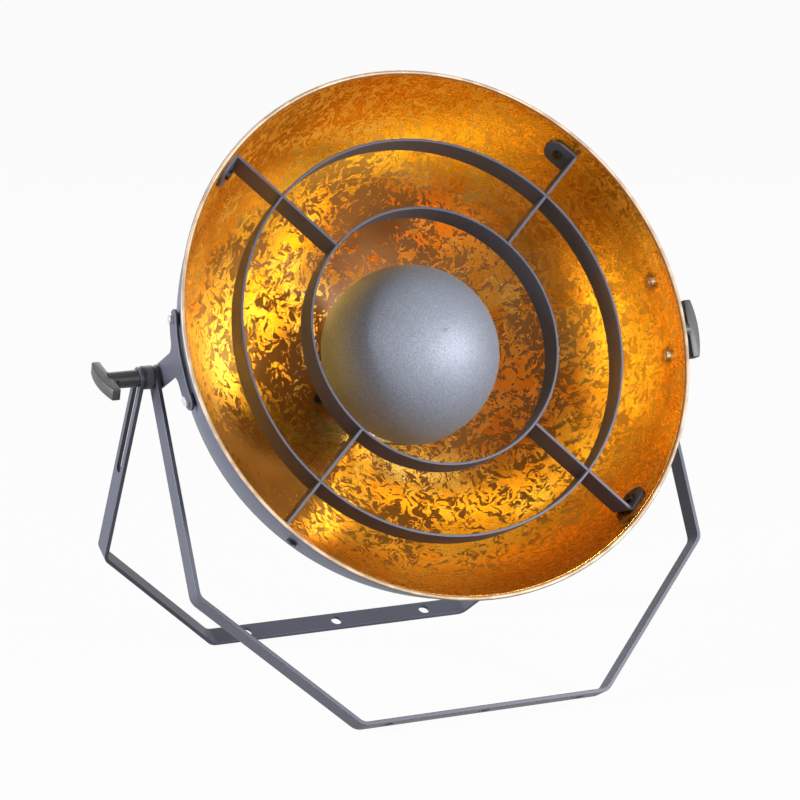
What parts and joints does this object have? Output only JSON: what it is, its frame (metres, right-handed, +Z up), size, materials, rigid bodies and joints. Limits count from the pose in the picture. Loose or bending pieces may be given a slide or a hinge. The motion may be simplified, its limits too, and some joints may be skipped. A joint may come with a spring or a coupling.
{
  "type": "tabletop searchlight lamp",
  "caption": "Tabletop searchlight lamp: gold-leafed bowl with strap grille and domed cap, tilting between two bent strap yokes that fold and slide on one pivot with wing knobs.",
  "frame": {"origin": "on the table under the lamp, at the middle of its width and depth", "axes": "+X to the lamp's left-hand knob side seen from behind (the pivot axis), +Y to the back, +Z up; the bowl faces -Y and up"},
  "size_m": [0.49, 0.2972, 0.4504],
  "materials": {
    "stand_paint": "fine-textured anthracite powder coat",
    "bowl_paint": "fine-textured anthracite powder coat outside; gold leaf inside the bowl",
    "grille_paint": "fine-textured anthracite powder coat",
    "zinc": "bright zinc-plated steel",
    "black_steel": "black oxide steel",
    "black_plastic": "moulded black nylon",
    "grey_plastic": "moulded grey nylon",
    "brass": "plain brass",
    "porcelain": "black moulded heat-resistant resin",
    "clear_plastic": "natural nylon",
    "nickel": "bright rolled metal cap",
    "bulb_glass": "clear thin glass"
  },
  "bodies": {
    "front_stand": {"front_yoke": "stand_paint", "inner_washers": "black_plastic"},
    "pivot_stack": {"pivot_bolts": "zinc", "thin_washers": "black_plastic", "spacer_rings": "grey_plastic", "outer_washers": "black_plastic"},
    "rear_stand": {"rear_yoke": "stand_paint"},
    "head": {"bowl": "bowl_paint", "pivot_bracket_left": "stand_paint", "pivot_bracket_right": "stand_paint", "bracket_spacers": "zinc", "bracket_screws": "zinc", "bracket_nuts": "zinc", "grille_outer_ring": "grille_paint", "grille_inner_ring": "grille_paint", "grille_spoke_1": "grille_paint", "grille_spoke_2": "grille_paint", "grille_spoke_3": "grille_paint", "grille_spoke_4": "grille_paint", "grille_screws": "black_steel", "grille_nuts": "black_steel", "cap": "grille_paint", "cap_stirrup": "zinc", "lampholder_body": "porcelain", "lampholder_thread_shell": "brass", "lampholder_contact": "brass", "nipple": "zinc", "nipple_locknuts": "zinc", "rear_housing": "bowl_paint", "housing_screws": "black_steel", "cable_gland": "black_plastic", "gland_cap_nut": "black_plastic", "gland_locknut": "black_plastic", "terminal_block": "clear_plastic"},
    "left_knob": {"knob_left": "black_plastic", "knob_insert_left": "brass"},
    "right_knob": {"knob_right": "black_plastic", "knob_insert_right": "brass"},
    "bulb": {"bulb_screw_cap": "nickel", "bulb_glass": "bulb_glass"}
  },
  "joints": [
    {"name": "head_tilt", "type": "hinge", "parent": "front_stand", "child": "head", "pos_m": [0, -0.0043, 0.24366], "axis": [-1, 0, 0], "range_deg": [-116.2, 63.8]},
    {"name": "stand_fold", "type": "hinge", "parent": "front_stand", "child": "pivot_stack", "pos_m": [0, -0.0043, 0.24366], "axis": [1, 0, 0], "range_deg": [-73, 60]},
    {"name": "rear_stand_slide", "type": "slide", "parent": "pivot_stack", "child": "rear_stand", "axis": [0, -0.4924, 0.8703], "range_m": [0, 0.0845]},
    {"name": "left_knob_turn", "type": "hinge", "parent": "pivot_stack", "child": "left_knob", "pos_m": [-0.23, -0.0043, 0.24366], "axis": [-1, 0, 0], "continuous": true},
    {"name": "right_knob_turn", "type": "hinge", "parent": "pivot_stack", "child": "right_knob", "pos_m": [0.23, -0.0043, 0.24366], "axis": [1, 0, 0], "continuous": true},
    {"name": "bulb_turn", "type": "hinge", "parent": "head", "child": "bulb", "pos_m": [0, 0.04953, 0.21717], "axis": [0, -0.8973, 0.4415], "continuous": true}
  ]
}
